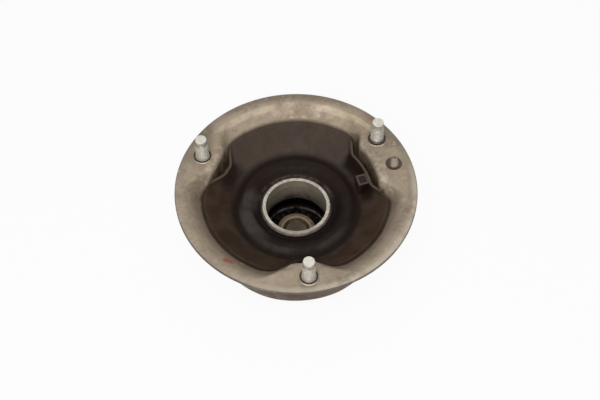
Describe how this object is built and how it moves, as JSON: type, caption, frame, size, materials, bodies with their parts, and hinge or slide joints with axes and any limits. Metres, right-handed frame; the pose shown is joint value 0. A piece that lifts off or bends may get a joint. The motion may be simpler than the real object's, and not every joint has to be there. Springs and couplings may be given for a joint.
{
  "type": "strut mount",
  "caption": "Round flanged steel cup with mounting studs and a bonded rubber body that holds a sleeve with a ball bearing for the strut rod.",
  "frame": {"origin": "centre of the stud circle, on the flange's top face", "axes": "+Z along the strut axis, out of the flange face towards the stud tips"},
  "size_m": [0.156, 0.156, 0.0808],
  "materials": {
    "pressed_steel": "dull phosphate-coated pressed steel with stains and scuffs",
    "bonded_rubber": "matt moulded black-brown rubber",
    "sleeve_steel": "drawn steel with a bright cut rim",
    "zinc_plate": "pale zinc plating",
    "bearing_steel": "satin bearing steel with a film of grease",
    "cage_plastic": "natural moulded polyamide",
    "seal_rubber": "matt black seal rubber",
    "ball_steel": "polished bearing balls with grease"
  },
  "bodies": {
    "mount": {"flanged_cup": "pressed_steel", "rubber_body": "bonded_rubber", "inner_sleeve": "sleeve_steel", "studs": "zinc_plate", "locating_pin": "pressed_steel", "bearing_outer_ring": "bearing_steel", "lower_seal": "seal_rubber"},
    "inner_ring": {"bearing_inner_ring": "bearing_steel"},
    "ball_set": {"ball_cage": "cage_plastic", "ball_1": "ball_steel", "ball_2": "ball_steel", "ball_3": "ball_steel", "ball_4": "ball_steel", "ball_5": "ball_steel", "ball_6": "ball_steel", "ball_7": "ball_steel", "ball_8": "ball_steel", "ball_9": "ball_steel", "ball_10": "ball_steel", "ball_11": "ball_steel", "ball_12": "ball_steel"}
  },
  "joints": [
    {"name": "bearing_spin", "type": "hinge", "parent": "mount", "child": "inner_ring", "pos_m": [0, 0, -0.055], "axis": [0, 0, 1], "continuous": true},
    {"name": "ball_orbit", "type": "hinge", "parent": "mount", "child": "ball_set", "pos_m": [0, 0, -0.055], "axis": [0, 0, 1], "continuous": true}
  ],
  "couplings": [
    {"joint": "ball_orbit", "follows": "bearing_spin", "ratio": 0.42}
  ]
}
